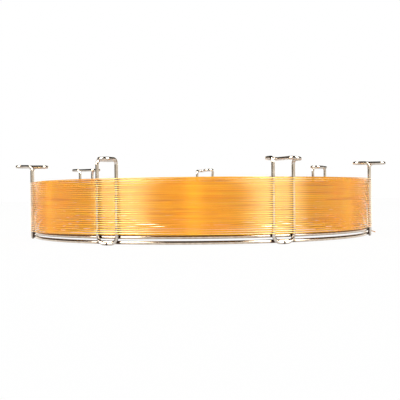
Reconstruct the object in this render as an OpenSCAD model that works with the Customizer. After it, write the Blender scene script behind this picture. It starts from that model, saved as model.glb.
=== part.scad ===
// A coil of coated capillary tube woven round an open cage of bright steel wire.
// The cage is seven bent loops welded to the outside of two rings. The tube lies in one
// layer, outside one loop and inside the next. Seven is odd, so each turn passes every loop
// on the other side from the turn below it. The origin is on the cage's axis, in the plane
// that the loops stand on.

/* [Cage] */
// Diameter over the outer sides of the loop legs
cage_d = 177; // [170:1:190]
// Diameter of the steel wire
wire_d = 1.6; // [1.4:0.1:1.7]
// Angles of the loops' middles, anticlockwise from the front, as welded by hand
loop_angles = [-27.7, 23.9, 77, 126.3, 178.2, 231.7, 280.1]; // [-30:0.1:285]

/* [Loops] */
// Height of a loop over everything
loop_h = 38.2; // [36:0.1:44]
// Distance between a loop's two legs, middle to middle
leg_gap = 10; // [9:0.1:12]
// Bend radius of the rounded foot, to the wire's middle
foot_bend_r = 3.5; // [2.5:0.1:4]
// Bend radius where a leg turns level at the top, to the wire's middle
top_bend_r = 2.2; // [1.6:0.1:2.3]
// Reach of the flat S at the top, from the legs to the wire's middle at each end
top_reach = 7.4; // [7:0.1:9]
// Gap where the two ends of a loop's wire meet under its foot
butt_gap = 0.2; // [0.1:0.05:0.4]

/* [Rings] */
// Height of the base ring's middle above the feet
base_ring_z = 1.35; // [1.2:0.05:1.45]
// Height of the upper ring's middle above the feet, on the cage's axis
upper_ring_z = 3.42; // [3.36:0.01:4]
// Slope of the upper ring, in degrees, lower at the left
upper_ring_tilt = 0.06; // [0:0.02:0.1]
// Lean of the upper ring, in degrees, higher at the front
upper_ring_lean = 0.22; // [0:0.02:0.26]
// Depth that a weld sinks the leg's wire into a ring
weld_sink = 0.15; // [0.1:0.05:0.2]

/* [Capillary] */
// Outer diameter of the tube
tube_d = 0.55; // [0.5:0.01:0.55]
// Height of the topmost turn's middle above the feet
top_turn_z = 28.75; // [28.65:0.05:30]
// Angle to each side of a loop's middle over which the tube keeps to one side of its legs
hold_angle = 5.5; // [5.3:0.1:6.5]
// Angle where the lower end leaves the cage
lower_end_angle = 112; // [108:1:115]
// Length of the straight free end
free_end_l = 33; // [25:0.5:34]
// Drop of the free end's tip below the lowest turn
free_end_drop = 3.6; // [3:0.1:4]

/* [Hidden] */
$fn = 48;

loop_count = 7;
wire_r = wire_d / 2;
half_gap = leg_gap / 2;
leg_r = cage_d / 2 - wire_r;            // cage axis to a leg's middle
top_z = loop_h - wire_r;                // middle of the level S
turn_r = half_gap / 2;                  // the S's two half turns
run_y = top_reach - turn_r;             // where the S's straight runs end
foot_flat = half_gap - foot_bend_r;     // half of the foot's straight run
foot_top_z = wire_r + foot_bend_r;      // where the foot's bends meet the legs
ring_r = leg_r - wire_d + weld_sink;    // cage axis to a ring's middle
steel = [0.80, 0.80, 0.79];
steel_ring = [0.72, 0.72, 0.71];
amber = [0.96, 0.62, 0.20];

turns = 24;
rings_per_loop = 3;                     // before a loop, after it, and half way to the next
rings_per_turn = rings_per_loop * loop_count;
sides = 6;
lie_clearance = 0.02;                   // between the legs and the tube's nearest flats
rest_clearance = 0.03;                  // between the upper ring and the lowest turn
step_start = 0.92;                      // share of a turn after which it steps up to the next
free_steps = 4;                         // rings along the free end
free_end_curve = 1.4;                   // 1 sinks evenly, and more sinks late
first_loop = 3;                         // place in loop_angles of the first loop that is passed
tube_r = tube_d / 2;
swing = wire_r + lie_clearance + tube_r * cos(180 / sides);    // from a leg to the tube beside it
rest_z = upper_ring_z + wire_r + rest_clearance + tube_r;      // middle of the lowest turn
pitch = (top_turn_z - rest_z) / (turns - 1);

// ---------- wire bending ----------

// Straight wire from point a to point b
module straight(a, b) {
    run = b - a;
    length = norm(run);
    translate(a)
        rotate([0, acos(run[2] / length), atan2(run[1], run[0])])
            cylinder(d = wire_d, h = length);
}

// Bent wire about the Z axis, starting on +X
module bend(radius, angle) {
    rotate_extrude(angle = angle)
        translate([radius, 0])
            circle(d = wire_d);
}

// Half of a loop: half the foot, one leg, and half of the S at the top.
// X runs along the cage's edge and -Y points away from its axis.
module half_loop() {
    // foot
    straight([butt_gap / 2, 0, wire_r], [foot_flat, 0, wire_r]);
    translate([foot_flat, 0, foot_top_z])
        rotate([90, 0, 0])
            rotate([0, 0, -90])
                bend(foot_bend_r, 90);
    // leg
    straight([half_gap, 0, foot_top_z], [half_gap, 0, top_z - top_bend_r]);
    // turn from the leg to the level
    translate([half_gap, -top_bend_r, top_z - top_bend_r])
        rotate([90, 0, 90])
            bend(top_bend_r, 90);
    // level run outwards, half turn, and half of the middle run
    straight([half_gap, -top_bend_r, top_z], [half_gap, -run_y, top_z]);
    translate([turn_r, -run_y, top_z])
        rotate([0, 0, 180])
            bend(turn_r, 180);
    straight([0, -run_y, top_z], [0, 0, top_z]);
}

// The other half is the same half turned half way round the loop's own middle line.
module bent_loop() {
    half_loop();
    rotate([0, 0, 180]) half_loop();
}

module placed_loop(number) {
    rotate([0, 0, loop_angles[number - 1]])
        translate([0, -leg_r, 0])
            bent_loop();
}

module wire_loop(number) {
    color(steel) placed_loop(number);
}

// ---------- rings ----------

// A ring with a shallow saddle wherever a loop is welded to it
module welded_ring(height, tilt, lean) {
    color(steel_ring)
        difference() {
            translate([0, 0, height])
                rotate([-lean, -tilt, 0])
                    rotate_extrude()
                        translate([ring_r, 0])
                            circle(d = wire_d);
            for (number = [1:loop_count]) placed_loop(number);
        }
}

module upper_ring() {
    welded_ring(upper_ring_z, upper_ring_tilt, upper_ring_lean);
}

module base_ring() {
    welded_ring(base_ring_z, 0, 0);
}

// ---------- capillary ----------

// Angle of loop n, counting on past the seventh
function loop_angle(n) = loop_angles[n % loop_count] + 360 * floor(n / loop_count);

// Angle of ring i of the turns
function ring_angle(i) =
    let (n = first_loop + floor(i / rings_per_loop), k = i % rings_per_loop)
    k == 0 ? loop_angle(n) - hold_angle :
    k == 1 ? loop_angle(n) + hold_angle :
    (loop_angle(n) + loop_angle(n + 1)) / 2;

// Side of the legs that ring i is on: 1 outside, -1 inside, and 0 half way between two loops
function ring_side(i) =
    i % rings_per_loop == 2 ? 0 :
    (first_loop + floor(i / rings_per_loop)) % 2 == 0 ? 1 : -1;

// Turns climbed at an angle. Each turn lies level on the one below it, and steps up to the
// next over the last part of its way round.
function climbed(angle) =
    let (way = (angle - lower_end_angle) / 360,
         s = max(0, way - floor(way) - step_start) / (1 - step_start))
    floor(way) + s * s * (3 - 2 * s);

// A point of the tube at an angle, on a side of the legs. The tube runs past a loop in one
// chord, square to the loop's middle. The upper ring's slope fades out towards the top.
function lay_point(angle, side) =
    let (r = (leg_r + side * swing) / cos(hold_angle),
         x = r * sin(angle),
         y = -r * cos(angle),
         slope = x * tan(upper_ring_tilt) - y * tan(upper_ring_lean),
         n = climbed(angle))
    [x, y, rest_z + pitch * n + slope * (1 - n / turns)];

// A point on the free end, which springs straight off the cage and sinks towards its tip
lower_start = lay_point(lower_end_angle, -1);
function free_point(s) =
    lower_start - s * free_end_l * [cos(lower_end_angle), sin(lower_end_angle), 0]
    - [0, 0, free_end_drop * pow(s, free_end_curve)];

path = concat([for (i = [free_steps:-1:1]) free_point(i / free_steps)],
              [lower_start],
              [for (i = [0:turns * rings_per_turn - 1]) lay_point(ring_angle(i), ring_side(i))]);
path_end = len(path) - 1;

// Direction of the tube at path point i, which halves the bend there
function unit(v) = v / norm(v);
function run_to(i) = unit(path[i] - path[i - 1]);
function along(i) =
    i == 0 ? run_to(1) :
    i == path_end ? run_to(path_end) :
    unit(run_to(i) + run_to(i + 1));

// The six corners of the tube round path point i, one of them uppermost
function tube_ring(i) =
    let (t = along(i), u = unit(cross(t, [0, 0, 1])), v = cross(u, t))
    [for (k = [0:sides - 1])
        path[i] + tube_r * (cos(90 + k * 360 / sides) * u + sin(90 + k * 360 / sides) * v)];

rings = [for (i = [0:path_end]) tube_ring(i)];

module capillary_winding() {
    last = path_end * sides;
    points = [for (ring = rings) each ring];
    walls = [for (i = [0:path_end - 1], k = [0:sides - 1])
                let (a = i * sides + k, b = i * sides + (k + 1) % sides)
                each [[a, b, a + sides], [b, b + sides, a + sides]]];
    start_cap = [for (k = [1:sides - 2]) [0, k + 1, k]];
    end_cap = [for (k = [1:sides - 2]) [last, last + k, last + k + 1]];
    color(amber) polyhedron(points, concat(walls, start_cap, end_cap));
}

// Least gap between one turn and the next, measured from corner to corner
least_gap = min([for (i = [0:path_end],
                      j = [i + rings_per_turn - 4:i + rings_per_turn + 4])
                    if (j <= path_end)
                        min([for (p = rings[i], q = rings[j]) norm(p - q)])]);
lengths = [for (i = [1:path_end]) norm(path[i] - path[i - 1])];
echo(turns = turns, least_gap_mm = least_gap);
echo(tube_length_m = lengths * [for (l = lengths) 1] / 1000);

wire_loop(1);  // wire_loop_1
wire_loop(2);  // wire_loop_2
wire_loop(3);  // wire_loop_3
wire_loop(4);  // wire_loop_4
wire_loop(5);  // wire_loop_5
wire_loop(6);  // wire_loop_6
wire_loop(7);  // wire_loop_7
upper_ring();
base_ring();
capillary_winding();
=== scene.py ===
import math
import random

import bmesh
import bpy
from mathutils import Matrix, Vector


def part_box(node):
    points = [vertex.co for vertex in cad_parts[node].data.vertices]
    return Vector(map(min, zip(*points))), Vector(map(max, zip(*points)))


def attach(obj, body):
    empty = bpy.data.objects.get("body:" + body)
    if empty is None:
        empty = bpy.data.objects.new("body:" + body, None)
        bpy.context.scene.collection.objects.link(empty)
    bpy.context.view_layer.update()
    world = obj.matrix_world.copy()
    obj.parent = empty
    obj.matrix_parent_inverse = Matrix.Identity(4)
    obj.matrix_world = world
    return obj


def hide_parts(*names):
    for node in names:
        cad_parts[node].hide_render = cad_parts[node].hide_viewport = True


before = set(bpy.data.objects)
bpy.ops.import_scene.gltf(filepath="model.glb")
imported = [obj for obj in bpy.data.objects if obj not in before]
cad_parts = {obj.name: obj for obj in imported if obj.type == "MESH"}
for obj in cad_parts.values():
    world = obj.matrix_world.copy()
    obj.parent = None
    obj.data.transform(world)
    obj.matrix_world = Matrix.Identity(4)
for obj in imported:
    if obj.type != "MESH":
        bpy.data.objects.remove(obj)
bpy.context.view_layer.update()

print("frame loaded:", len(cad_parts), "nodes")

mm = 0.001
up = Vector((0, 0, 1))

# places and sizes that the cage already has
ringLow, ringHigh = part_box("base_ring")
footLow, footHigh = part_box("wire_loop_1")

cage = dict(
    wireRadius=(ringHigh[2] - ringLow[2]) / 2,
    legRadius=87.7 * mm,           # cage axis to the middle of a leg
    # the loops' places in degrees anticlockwise from the front, as welded by hand
    loopAngles=(-27.7, 23.9, 77, 126.3, 178.2, 231.7, 280.1),
    height=footHigh[2],
)


def onCage(angle, radius, height):
    turn = math.radians(angle)
    return Vector((radius * math.sin(turn), -radius * math.cos(turn), height))


def smoothStep(low, high, value):
    t = min(1, max(0, (value - low) / (high - low)))
    return t * t * (3 - 2 * t)


# wire and tube meshes

def roundedPath(corners, radii, step):
    # the corners' straight runs, with an arc of the given radius at each inner corner
    path = [corners[0]]
    for before, corner, after, radius in zip(corners, corners[1:], corners[2:], radii):
        back = (before - corner).normalized()
        ahead = (after - corner).normalized()
        half = back.angle(ahead) / 2
        centre = corner + (back + ahead).normalized() * radius / math.sin(half)
        start = corner + back * radius / math.tan(half)
        end = corner + ahead * radius / math.tan(half)
        fill(path, start, step)
        first, last = start - centre, end - centre
        opening = first.angle(last)
        count = max(3, math.ceil(opening * radius / step))
        for i in range(1, count + 1):
            turned = opening * i / count
            path.append(centre + first * (math.sin(opening - turned) / math.sin(opening))
                        + last * (math.sin(turned) / math.sin(opening)))
    fill(path, corners[-1], step)
    return path


def fill(path, end, step):
    # a straight run from the path's last point, in even steps
    start = path[-1]
    count = math.ceil((end - start).length / step)
    for i in range(1, count + 1):
        path.append(start.lerp(end, i / count))


chamferShare = 0.18                # of the radius, at a wire's cut ends


def sweep(path, radius, sides, closed=False, endDepth=0, bore=0, darkness=None):
    # a round skin along a path; an open one gets chamfered ends, or ends with a bore
    count = len(path)
    frames = []
    side = None
    for i, point in enumerate(path):
        if closed:
            ahead = (path[(i + 1) % count] - path[i - 1]).normalized()
        else:
            ahead = (path[min(i + 1, count - 1)] - path[max(i - 1, 0)]).normalized()
        if side is None:
            side = ahead.cross(up if abs(ahead.z) < 0.9 else Vector((0, 1, 0))).normalized()
        side = (side - ahead * side.dot(ahead)).normalized()
        frames.append((point, side, ahead.cross(side), ahead))

    rings = []                     # (centre, side, other, radius)
    if closed:
        rings = [(p, s, o, radius) for p, s, o, a in frames]
    else:
        chamfer = radius * chamferShare
        p, s, o, a = frames[0]
        if bore:
            rings += [(p + a * endDepth, s, o, bore), (p, s, o, bore)]
        rings += [(p, s, o, radius - chamfer), (p + a * chamfer, s, o, radius)]
        rings += [(p, s, o, radius) for p, s, o, a in frames[1:-1]]
        p, s, o, a = frames[-1]
        rings += [(p - a * chamfer, s, o, radius), (p, s, o, radius - chamfer)]
        if bore:
            rings += [(p, s, o, bore), (p - a * endDepth, s, o, bore)]

    bm = bmesh.new()
    uv = bm.loops.layers.uv.new("alongWire")
    shade = bm.verts.layers.float.new("darkness")
    rows, lengths = [], []
    travelled, last = 0, rings[0][0]
    for centre, s, o, r in rings:
        travelled += (centre - last).length
        last = centre
        lengths.append(travelled)
        row = []
        for k in range(sides):
            turn = math.tau * k / sides
            vert = bm.verts.new(centre + (s * math.cos(turn) + o * math.sin(turn)) * r)
            vert[shade] = darkness(vert.co) if darkness else 0
            row.append(vert)
        rows.append(row)
    if closed:
        rows.append(rows[0])
        lengths.append(travelled + (rings[0][0] - last).length)
    for i in range(len(rows) - 1):
        for k in range(sides):
            n = (k + 1) % sides
            face = bm.faces.new((rows[i][k], rows[i][n], rows[i + 1][n], rows[i + 1][k]))
            face.smooth = True
            spots = ((i, k), (i, k + 1), (i + 1, k + 1), (i + 1, k))
            for loop, (along, round_) in zip(face.loops, spots):
                loop[uv].uv = (lengths[along] / mm, round_ / sides)
    if not closed:
        bm.faces.new(rows[0][::-1])
        bm.faces.new(rows[-1])
    bmesh.ops.recalc_face_normals(bm, faces=bm.faces)
    return bm


def toObject(bm, name, material):
    mesh = bpy.data.meshes.new(name)
    bm.to_mesh(mesh)
    bm.free()
    obj = bpy.data.objects.new(name, mesh)
    bpy.context.scene.collection.objects.link(obj)
    mesh.materials.append(material)
    return obj


# finishes

def newMaterial(name):
    material = bpy.data.materials.new(name)
    material.use_nodes = True
    nodes = material.node_tree.nodes
    nodes.clear()
    shader = nodes.new("ShaderNodeBsdfPrincipled")
    output = nodes.new("ShaderNodeOutputMaterial")
    material.node_tree.links.new(shader.outputs[0], output.inputs[0])
    return material, shader


def wireCoordinates(material, along, around):
    nodes, links = material.node_tree.nodes, material.node_tree.links
    uv = nodes.new("ShaderNodeUVMap")
    uv.uv_map = "alongWire"
    mapping = nodes.new("ShaderNodeMapping")
    mapping.inputs["Scale"].default_value = (along, around, 1)
    links.new(uv.outputs[0], mapping.inputs[0])
    return mapping.outputs[0]


def noise(material, coordinates, detail):
    nodes, links = material.node_tree.nodes, material.node_tree.links
    texture = nodes.new("ShaderNodeTexNoise")
    texture.inputs["Scale"].default_value = 1
    texture.inputs["Detail"].default_value = detail
    links.new(coordinates, texture.inputs["Vector"])
    return texture.outputs["Fac"]


def ramp(material, factor, stops):
    nodes, links = material.node_tree.nodes, material.node_tree.links
    node = nodes.new("ShaderNodeValToRGB")
    elements = node.color_ramp.elements
    while len(elements) < len(stops):
        elements.new(0.5)
    for element, (place, colour) in zip(elements, stops):
        element.position = place
        element.color = (*colour, 1)
    links.new(factor, node.inputs[0])
    return node.outputs[0]


def darken(material, shader, colour, dark):
    # the darkness written on the mesh blends the dark colour in; it is painted shade, and on the
    # steel also the brown of the welds and the dark of the foot's butt joint
    nodes, links = material.node_tree.nodes, material.node_tree.links
    shade = nodes.new("ShaderNodeAttribute")
    shade.attribute_name = "darkness"
    mix = nodes.new("ShaderNodeMix")
    mix.data_type = "RGBA"
    links.new(shade.outputs["Fac"], mix.inputs["Factor"])
    links.new(colour, mix.inputs["A"])
    mix.inputs["B"].default_value = (*dark, 1)
    links.new(mix.outputs["Result"], shader.inputs["Base Color"])


steelLook = dict(
    # how fine the marks are, along the wire in each mm and round it
    lines=(0.15, 26),
    patches=(0.45, 2),
    dullUpTo=0.35,
    brightFrom=0.65,
    smoothest=0.08,
    roughest=0.17,
    lineDepth=0.08,
    lineHeight=0.02 * mm,
    # the brown of the welds, and also the colour of the painted shade on the wires
    weldBrownAndPaintedShade=(0.055, 0.025, 0.014),
)


def drawnSteel(name, bright, dull):
    material, shader = newMaterial(name)
    nodes, links = material.node_tree.nodes, material.node_tree.links
    shader.inputs["Metallic"].default_value = 1
    # drawing lines run along the wire, patches of wear lie across it
    lines = noise(material, wireCoordinates(material, *steelLook["lines"]), 3)
    patches = noise(material, wireCoordinates(material, *steelLook["patches"]), 2)
    colour = ramp(material, patches, ((steelLook["dullUpTo"], dull),
                                      (steelLook["brightFrom"], bright)))
    # brown at the welds and painted shade, where the mesh's darkness is written
    darken(material, shader, colour, steelLook["weldBrownAndPaintedShade"])
    rough = nodes.new("ShaderNodeMapRange")
    rough.inputs["To Min"].default_value = steelLook["smoothest"]
    rough.inputs["To Max"].default_value = steelLook["roughest"]
    links.new(patches, rough.inputs["Value"])
    links.new(rough.outputs[0], shader.inputs["Roughness"])
    bump = nodes.new("ShaderNodeBump")
    bump.inputs["Strength"].default_value = steelLook["lineDepth"]
    bump.inputs["Distance"].default_value = steelLook["lineHeight"]
    links.new(lines, bump.inputs["Height"])
    links.new(bump.outputs[0], shader.inputs["Normal"])
    return material


amberLook = dict(
    drift=(0.02, 0.5),             # how fast the shade changes, along the tube and round it
    # the colour of the painted shade on the tube
    shaded=(0.05, 0.012, 0.003),
    # three shades of the coat, and where on the drift each one is reached
    dark=(0.70, 0.24, 0.004),
    deep=(0.94, 0.37, 0.005),
    clear=(0.98, 0.50, 0.012),
    darkAt=0.33,
    deepAt=0.41,
    clearAt=0.64,
    roughness=0.11,
    index=2.5,
    thinTint=(1, 0.88, 0.42),      # light that has passed the coat once, and shallowly
    gloss=0.3,
    glossIndex=1.5,
    glossRoughness=0.1,
)


def amberCoat(name):
    material, shader = newMaterial(name)
    # the coat's shade drifts along the tube, with a few darker lengths
    drift = noise(material, wireCoordinates(material, *amberLook["drift"]), 3)
    stops = [(amberLook[shade + "At"], amberLook[shade]) for shade in ("dark", "deep", "clear")]
    colour = ramp(material, drift, stops)
    # painted shade, where the mesh's darkness is written
    darken(material, shader, colour, amberLook["shaded"])
    shader.inputs["Roughness"].default_value = amberLook["roughness"]
    shader.inputs["IOR"].default_value = amberLook["index"]
    shader.inputs["Specular Tint"].default_value = (*amberLook["thinTint"], 1)
    shader.inputs["Coat Weight"].default_value = amberLook["gloss"]
    shader.inputs["Coat IOR"].default_value = amberLook["glossIndex"]
    shader.inputs["Coat Roughness"].default_value = amberLook["glossRoughness"]
    return material


loopSteel = drawnSteel("loopSteel", bright=(0.66, 0.60, 0.53), dull=(0.50, 0.44, 0.38))
ringSteel = drawnSteel("ringSteel", bright=(0.74, 0.63, 0.51), dull=(0.58, 0.47, 0.37))
amber = amberCoat("amberCoat")


# sizes of a bent loop

loopWire = dict(
    legGap=10 * mm,
    footBend=3.5 * mm,
    topBend=2.2 * mm,
    reach=7.4 * mm,                # from the legs to the wire's middle at each end of the S
    buttGap=0.22 * mm,
    # painted shade on the legs' flanks where the tube runs past them, and on the tube's inner turns
    # beside them: its heights, its strength at each loop, and its width
    shaded=(4 * mm, 29.6 * mm),    # heights between which the tube runs past the legs
    flankShade=(0.7, 0.7, 0, 0.5, 0.5, 0.5, 0),    # how dark it is beside each loop's legs
    flankFrom=(0.45, 0.8),         # in wire radii from a leg's middle
    weldFade=(0.5 * mm, 1.7 * mm),
    innerSide=(-0.7 * mm, 0.3 * mm),
    footTop=1.68 * mm,             # height under which the foot's wire lies
    # each loop's top as bent by hand: how much lower it is, and its slope along the S
    tops=((0, 0), (0.45 * mm, -0.09), (0.6 * mm, 0), (0, 0), (0.15 * mm, -0.03), (0.3 * mm, 0),
          (0.6 * mm, 0)),
    topBegins=30 * mm,             # height above which a leg differs
    step=0.45 * mm,
    sides=20,
)

# the two rings that the loops are welded to

upperLow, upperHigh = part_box("upper_ring")

rings = dict(
    radius=(ringHigh[0] - ringLow[0]) / 2 - cage["wireRadius"],
    heights=((ringLow[2] + ringHigh[2]) / 2, (upperLow[2] + upperHigh[2]) / 2),
    upperTilt=0.06,                # slope of the upper ring in degrees, lower at the left
    upperLean=0.22,                # and higher at the front
    weldReach=1.6 * mm,            # from a leg's middle, along the ring
    # where each brown or painted shade begins and ends: in reaches, sizes and wire radii
    weldFade=(0.6, 1.3),
    outerSide=(-0.5 * mm, 0.4 * mm),
    topFade=(0.4, 0.85),
    footFade=(0.5, 0.95),
    # how dark the painted shade is on the ring's top and near the floor
    topShade=0.85,
    footShade=0.4,
    steps=480,
    sides=20,
)


# where each leg stands, on the floor
legPlaces = [onCage(angle, cage["legRadius"], 0)
             + up.cross(onCage(angle, 1, 0)) * side * loopWire["legGap"] / 2
             for angle in cage["loopAngles"] for side in (-1, 1)]


def upperSlope(point):
    # how far the upper ring's plane lies above its middle
    return (point.x * math.tan(math.radians(rings["upperTilt"]))
            - point.y * math.tan(math.radians(rings["upperLean"])))


def makeRing(node, height, sloping):
    path = []
    for i in range(rings["steps"]):
        point = onCage(360 * i / rings["steps"], rings["radius"], height)
        if sloping:
            point.z += upperSlope(point)
        path.append(point)

    def darkness(point):
        # browned on the outer side, where the legs are welded on, with painted shade on the top,
        # under what lies above, and a little painted shade near the floor
        outwards = math.hypot(point.x, point.y) - rings["radius"]
        nearest = min((Vector((point.x, point.y, 0)) - leg).length for leg in legPlaces)
        weld = ((1 - smoothStep(*rings["weldFade"], nearest / rings["weldReach"]))
                * smoothStep(*rings["outerSide"], outwards))
        middle = height + (upperSlope(point) if sloping else 0)
        rise = (point.z - middle) / cage["wireRadius"]
        over = rings["topShade"] * smoothStep(*rings["topFade"], rise)
        under = rings["footShade"] * smoothStep(*rings["footFade"], -rise)
        return max(weld, over, under)

    name = node.replace("_ring", "Ring")
    ring = toObject(sweep(path, cage["wireRadius"], rings["sides"], closed=True, darkness=darkness),
                    name, ringSteel)
    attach(ring, "root")
    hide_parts(node)
    return ring


# the seven bent loops

def loopCorners():
    half = loopWire["legGap"] / 2
    low, top = cage["wireRadius"], cage["height"] - cage["wireRadius"]
    reach, gap = loopWire["reach"], loopWire["buttGap"] / 2
    side = [Vector((gap, 0, low)), Vector((half, 0, low)), Vector((half, 0, top)),
            Vector((half, reach, top)), Vector((0, reach, top))]
    other = [Vector((-p.x, -p.y, p.z)) for p in reversed(side)]
    bends = [loopWire["footBend"], loopWire["topBend"], half / 2, half / 2]
    return side + other, bends + bends[::-1]


def makeLoop(number):
    angle = cage["loopAngles"][number - 1]
    corners, bends = loopCorners()
    outward = onCage(angle, 1, 0)
    tangent = up.cross(outward)
    foot = onCage(angle, cage["legRadius"], 0)
    drop, slope = loopWire["tops"][number - 1]
    path = []
    for p in roundedPath(corners, bends, loopWire["step"]):
        own = smoothStep(loopWire["topBegins"], cage["height"], p.z)
        path.append(foot + tangent * p.x + outward * p.y + up * (p.z + own * (p.x * slope - drop)))

    def darkness(point):
        # browned where the legs are welded to the rings, dark at the butt joint, and painted shade
        # on the flanks that the tube runs past
        nearest = min(abs(point.z - height) for height in rings["heights"])
        inwards = cage["legRadius"] - math.hypot(point.x, point.y)
        weld = ((1 - smoothStep(*loopWire["weldFade"], nearest))
                * smoothStep(*loopWire["innerSide"], inwards))
        along = abs((point - foot).dot(tangent))
        aside = abs(along - loopWire["legGap"] / 2)
        butt = 0
        if point.z < loopWire["footTop"]:
            butt = 1 - smoothStep(loopWire["buttGap"], 3 * loopWire["buttGap"], along)
        low, high = loopWire["shaded"]
        paintedFlankShade = (smoothStep(*loopWire["flankFrom"], aside / cage["wireRadius"])
                 * smoothStep(low, low + mm, point.z) * (1 - smoothStep(high - mm, high, point.z)))
        return max(weld, butt, loopWire["flankShade"][number - 1] * paintedFlankShade)

    name = "wireLoop%d" % number
    bm = sweep(path, cage["wireRadius"], loopWire["sides"], darkness=darkness)
    loop = toObject(bm, name, loopSteel)
    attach(loop, "root")
    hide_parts("wire_loop_%d" % number)
    return loop


makeRing("base_ring", rings["heights"][0], False)
makeRing("upper_ring", rings["heights"][1], True)
print("rings closed")
for number in range(1, len(cage["loopAngles"]) + 1):
    makeLoop(number)
print("loops bent:", len(cage["loopAngles"]))


# the tube

winding = dict(
    tubeRadius=0.24 * mm,
    boreRadius=0.16 * mm,
    boreDepth=1.0 * mm,
    turns=52,
    restGap=0.03 * mm,             # between the upper ring and the lowest turn
    topmost=29.0 * mm,             # middle of the topmost turn
    hold=4.4,                      # degrees to each side of a loop that the tube keeps to its side
    lowerEnd=112,                  # where the lower end leaves the cage, in degrees
    upperEnd=101.65,
    stepUp=0.92,                   # share of a turn after which it steps up to the next
    freeLength=33 * mm,
    freeDrop=3.6 * mm,
    freeCurve=1.4,                 # 1 sinks evenly, and more sinks late
    freeSteps=40,
    unevenPitch=0.012,             # share by which the space between two turns differs
    waver=0.12 * mm,               # slow rise and fall that neighbouring turns share
    waves=((2, 0.4), (3, 1.9), (5, 4.1)),    # waves in a turn, and where they start
    waverGrows=0.3,                # shares of the winding over which it grows and dies away
    waverEnds=0.08,
    step=3.6,                      # degrees from one ring of the skin to the next
    nearLoop=5.2,                  # degrees from a loop within which it is nearStep
    nearStep=0.65,
    # the painted shade on the tube: how far it reaches from a leg, and how dark the inner turns are
    shadeReach=(1.3 * mm, 2.3 * mm),     # from a leg's middle to where its shade ends
    innerShade=0.45,               # on a turn that lies behind its neighbours
    innerFrom=(0.2, 1),            # share of the way in from the legs' circle
    sideSag=0.25 * mm,             # how much lower the topmost turn lies at the sides
    sides=10,
)


def sideOfLoops(angle):
    # 1 outside the loops' legs, -1 inside; the side changes from each loop to the next
    loops = cage["loopAngles"]
    whole = math.floor((angle - loops[0]) / 360)
    rest = angle - 360 * whole
    n = max(i for i, place in enumerate(loops) if place <= rest)
    start = loops[n]
    end = loops[n + 1] if n + 1 < len(loops) else loops[0] + 360
    parity = 1 if (whole * len(loops) + n) % 2 == 0 else -1
    across = smoothStep(start + winding["hold"], end - winding["hold"], rest)
    return parity * (1 - 2 * across)


def turnHeights():
    # the height of each turn, unevenly spaced, and of the step after the last one
    w = winding
    rng = random.Random(7)
    lowest = rings["heights"][1] + cage["wireRadius"] + w["restGap"] + w["tubeRadius"]
    spaces = [1 + rng.uniform(-w["unevenPitch"], w["unevenPitch"]) for i in range(w["turns"])]
    pitch = (w["topmost"] - lowest) / sum(spaces[:-1])
    heights = [lowest]
    for space in spaces:
        heights.append(heights[-1] + pitch * space)
    return heights


def makeWinding():
    w = winding
    swing = cage["wireRadius"] + w["tubeRadius"]
    wound = w["turns"] * 360 + w["upperEnd"] - w["lowerEnd"]
    heights = turnHeights()

    def onTurn(angle):
        climbed = (angle - w["lowerEnd"]) / wound
        turn, part = divmod((angle - w["lowerEnd"]) / 360, 1)
        turn = int(turn)
        # a turn lies level on the one below it, and steps up at its end
        height = heights[turn] + (heights[turn + 1] - heights[turn]) * smoothStep(
            w["stepUp"], 1, part)
        stray = sum(math.sin(math.radians(angle) * rate + phase + 4 * climbed) / rate
                    for rate, phase in w["waves"])
        # the waver grows over the lowest turns and dies away under the topmost
        free = smoothStep(0, w["waverGrows"], climbed) * smoothStep(0, w["waverEnds"], 1 - climbed)
        point = onCage(angle, cage["legRadius"] + sideOfLoops(angle) * swing, height)
        sag = w["sideSag"] * math.sin(math.radians(angle)) ** 2
        point.z += upperSlope(point) * (1 - climbed) + free * w["waver"] * stray - sag * climbed
        return point

    start = onTurn(w["lowerEnd"])
    leave = -onCage(w["lowerEnd"] + 90, 1, 0)
    path = []
    for i in range(w["freeSteps"], 0, -1):
        share = i / w["freeSteps"]
        path.append(start + leave * w["freeLength"] * share
                    - up * w["freeDrop"] * share ** w["freeCurve"])
    angle = w["lowerEnd"]
    while angle < w["lowerEnd"] + wound:
        path.append(onTurn(angle))
        fromLoop = min(abs((angle - loop + 180) % 360 - 180) for loop in cage["loopAngles"])
        angle += min(w["step"], max(w["nearStep"], fromLoop - w["nearLoop"] + w["nearStep"]))
    path.append(onTurn(w["lowerEnd"] + wound))

    def darkness(point):
        # painted shade on the turns that lie inside the others, and more so beside a leg
        radius = math.hypot(point.x, point.y)
        if radius > cage["legRadius"] or point.z < heights[0] - mm:
            return 0
        x, y = point.x, point.y
        spaces = [(x - leg.x) ** 2 + (y - leg.y) ** 2 for leg in legPlaces]
        nearest = min(spaces)
        atLoop = loopWire["flankShade"][spaces.index(nearest) // 2]
        near, far = w["shadeReach"]
        inside = smoothStep(*w["innerFrom"], (cage["legRadius"] - radius) / swing)
        return inside * atLoop * max(w["innerShade"], 1 - smoothStep(near, far, nearest ** 0.5))

    bm = sweep(path, w["tubeRadius"], w["sides"],
               endDepth=w["boreDepth"], bore=w["boreRadius"], darkness=darkness)
    tube = toObject(bm, "capillary", amber)
    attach(tube, "root")
    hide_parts("capillary_winding")
    return tube


makeWinding()
print("tube wound:", winding["turns"], "turns")


# floor, light and camera

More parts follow.
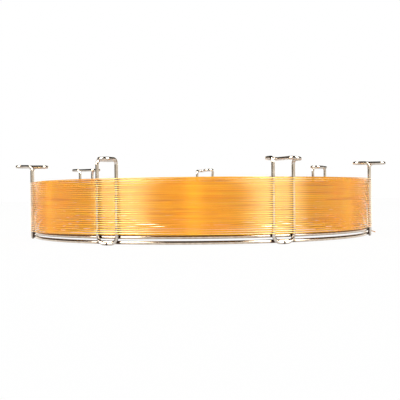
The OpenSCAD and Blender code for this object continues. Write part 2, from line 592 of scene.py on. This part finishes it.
studio = dict(
    floorWidth=6,
    floorFront=0.9,                # how far the white table reaches towards the camera
    floorBack=3,
    floorGlow=0.97,                # share of the floor that shows as plain white
    floorGrey=(0.9, 0.9, 0.9),
    floorRoughness=0.6,
    boxAzimuth=52,                 # degrees to each side of the camera
    boxDistance=1.1,
    boxWidth=0.72,
    boxHeight=1.2,
    boxMiddle=0.5,
    boxPower=8.8,
    rightShare=0.76,               # of the left box's power
    fillFront=0.7,
    fillBack=0.36,
    # what the wires and the tube mirror, as strengths: a lit strip at eye level, the tall
    # windows over it, the dark sides and ceiling, and white paper at the back
    strip=0.95,
    window=14.5,
    sides=0.05,
    ceiling=0.16,
    mirrored=(1, 0.94, 0.83),
    # where each of them begins and ends, softly: azimuths in radians to the right of the
    # camera's side, and heights and depths as shares of the way straight up or back
    stripDark=((-2.5, -2.2), (-0.8, -0.5)),    # the strip is missing between these
    stripHeight=(0.08, 0.16),
    windowShift=0.025,             # both windows' turn to the left
    windowSides=((0.645, 0.74), (1.27, 1.36)),
    windowHeights=((0.12, 0.25), (0.9, 0.97)),
    paperFrom=(0.74, 0.92),
    ceilingFrom=(0.3, 0.6),
    fillFrom=(-0.9, 0.5),
)


def seenBy(nodes, links, *rays):
    # 1 where any of the named kinds of ray looks on, and 0 elsewhere
    path = nodes.new("ShaderNodeLightPath")
    seen = path.outputs[rays[0]]
    for ray in rays[1:]:
        either = nodes.new("ShaderNodeMath")
        either.operation = "MAXIMUM"
        links.new(seen, either.inputs[0])
        links.new(path.outputs[ray], either.inputs[1])
        seen = either.outputs[0]
    return seen


def makeFloor():
    bm = bmesh.new()
    half = studio["floorWidth"] / 2
    corners = ((-half, -studio["floorFront"]), (half, -studio["floorFront"]),
               (half, studio["floorBack"]), (-half, studio["floorBack"]))
    bm.faces.new([bm.verts.new((x, y, 0)) for x, y in corners])
    material, shader = newMaterial("paleFloor")
    nodes, links = material.node_tree.nodes, material.node_tree.links
    shader.inputs["Base Color"].default_value = (*studio["floorGrey"], 1)
    shader.inputs["Roughness"].default_value = studio["floorRoughness"]
    glow = nodes.new("ShaderNodeEmission")
    glow.inputs["Color"].default_value = (1, 1, 1, 1)
    seen = seenBy(nodes, links, "Is Camera Ray", "Is Glossy Ray", "Is Transmission Ray")
    share = nodes.new("ShaderNodeMath")
    share.operation = "MULTIPLY"
    links.new(seen, share.inputs[0])
    share.inputs[1].default_value = studio["floorGlow"]
    mix = nodes.new("ShaderNodeMixShader")
    links.new(share.outputs[0], mix.inputs[0])
    links.new(shader.outputs[0], mix.inputs[1])
    links.new(glow.outputs[0], mix.inputs[2])
    output = next(n for n in nodes if n.type == "OUTPUT_MATERIAL")
    links.new(mix.outputs[0], output.inputs[0])
    floor = toObject(bm, "floor", material)


def makeRoom():
    world = bpy.data.worlds.new("studio")
    bpy.context.scene.world = world
    world.use_nodes = True
    nodes, links = world.node_tree.nodes, world.node_tree.links
    nodes.clear()
    output = nodes.new("ShaderNodeOutputWorld")
    direction = nodes.new("ShaderNodeTexCoord")
    split = nodes.new("ShaderNodeSeparateXYZ")
    links.new(direction.outputs["Generated"], split.inputs[0])
    right, back, above = split.outputs

    def graded(value, low, high, atLow, atHigh):
        node = nodes.new("ShaderNodeMapRange")
        node.interpolation_type = "SMOOTHSTEP"
        for socket, number in (("From Min", low), ("From Max", high),
                               ("To Min", atLow), ("To Max", atHigh)):
            node.inputs[socket].default_value = number
        links.new(value, node.inputs["Value"])
        return node.outputs[0]

    def worked(operation, *values):
        node = nodes.new("ShaderNodeMath")
        node.operation = operation
        for socket, value in zip(node.inputs, values):
            if isinstance(value, (int, float)):
                socket.default_value = value
            else:
                links.new(value, socket)
        return node.outputs[0]

    def times(a, b):
        return worked("MULTIPLY", a, b)

    def plus(a, b):
        return worked("ADD", a, b)

    azimuth = worked("ARCTAN2", right, times(back, -1))
    paper = graded(back, *studio["paperFrom"], studio["sides"], 1)
    level = times(paper, graded(above, *studio["ceilingFrom"], 1, studio["ceiling"]))
    # the strip fills the upright wires, and is a thin line on the level tube
    ends, begins = studio["stripDark"]
    reach = plus(graded(azimuth, *begins, 0, studio["strip"]),
                 graded(azimuth, *ends, studio["strip"], 0))
    strip = times(reach, graded(worked("ABSOLUTE", above), *studio["stripHeight"], 1, 0))
    # the windows reach from above the strip nearly to the ceiling's middle
    around = worked("ABSOLUTE", plus(azimuth, studio["windowShift"]))
    inner, outer = studio["windowSides"]
    wide = times(graded(around, *inner, 0, studio["window"]), graded(around, *outer, 1, 0))
    bottom, top = studio["windowHeights"]
    high = times(graded(above, *bottom, 0, 1), graded(above, *top, 1, 0))
    lit = times(wide, high)
    mirrored = nodes.new("ShaderNodeBackground")
    mirrored.inputs["Color"].default_value = (*studio["mirrored"], 1)
    links.new(plus(plus(level, strip), lit), mirrored.inputs["Strength"])
    soft = nodes.new("ShaderNodeBackground")
    links.new(graded(back, *studio["fillFrom"], studio["fillFront"], studio["fillBack"]),
              soft.inputs["Strength"])
    white = nodes.new("ShaderNodeBackground")
    for background in (soft, white):
        background.inputs["Color"].default_value = (1, 1, 1, 1)
    glossy = nodes.new("ShaderNodeMixShader")
    links.new(seenBy(nodes, links, "Is Glossy Ray"), glossy.inputs[0])
    links.new(soft.outputs[0], glossy.inputs[1])
    links.new(mirrored.outputs[0], glossy.inputs[2])
    mix = nodes.new("ShaderNodeMixShader")
    links.new(seenBy(nodes, links, "Is Camera Ray", "Is Transmission Ray"), mix.inputs[0])
    links.new(glossy.outputs[0], mix.inputs[1])
    links.new(white.outputs[0], mix.inputs[2])
    links.new(mix.outputs[0], output.inputs[0])


def makeLamp(name, azimuth, power):
    data = bpy.data.lights.new(name, "AREA")
    data.shape = "RECTANGLE"
    data.size, data.size_y = studio["boxWidth"], studio["boxHeight"]
    data.energy = power
    lamp = bpy.data.objects.new(name, data)
    bpy.context.scene.collection.objects.link(lamp)
    lamp.location = onCage(azimuth, studio["boxDistance"], studio["boxMiddle"])
    lamp.visible_camera = False
    lamp.visible_glossy = False    # the room's lit windows are mirrored in its place
    target = Vector((0, 0, 15 * mm))
    lamp.rotation_euler = (target - lamp.location).to_track_quat("-Z", "Y").to_euler()


view = dict(
    distance=418 * mm,             # camera to the cage's axis
    height=21.5 * mm,
    frameWidth=400,
    focalPixels=785.2,
    axisX=200.95,                  # where the level line of sight meets the picture
    axisY=195.1,
    roll=0.0105,
)


def makeCamera():
    data = bpy.data.cameras.new("camera")
    data.sensor_width = 36
    data.lens = view["focalPixels"] * data.sensor_width / view["frameWidth"]
    data.clip_start = 0.01
    camera = bpy.data.objects.new("camera", data)
    bpy.context.scene.collection.objects.link(camera)
    centre = view["frameWidth"] / 2
    pitch = math.atan((centre - view["axisY"]) / view["focalPixels"])
    yaw = math.atan((view["axisX"] - centre) / view["focalPixels"])
    aim = Matrix.Rotation(yaw, 4, "Z") @ Matrix.Rotation(math.pi / 2 - pitch, 4, "X")
    camera.matrix_world = (Matrix.Translation((0, -view["distance"], view["height"]))
                           @ aim @ Matrix.Rotation(-view["roll"], 4, "Z"))
    bpy.context.scene.camera = camera


makeFloor()
makeRoom()
makeLamp("leftBox", -studio["boxAzimuth"], studio["boxPower"])
makeLamp("rightBox", studio["boxAzimuth"], studio["boxPower"] * studio["rightShare"])
makeCamera()
bpy.context.scene.view_settings.view_transform = "Standard"
print("studio lit")
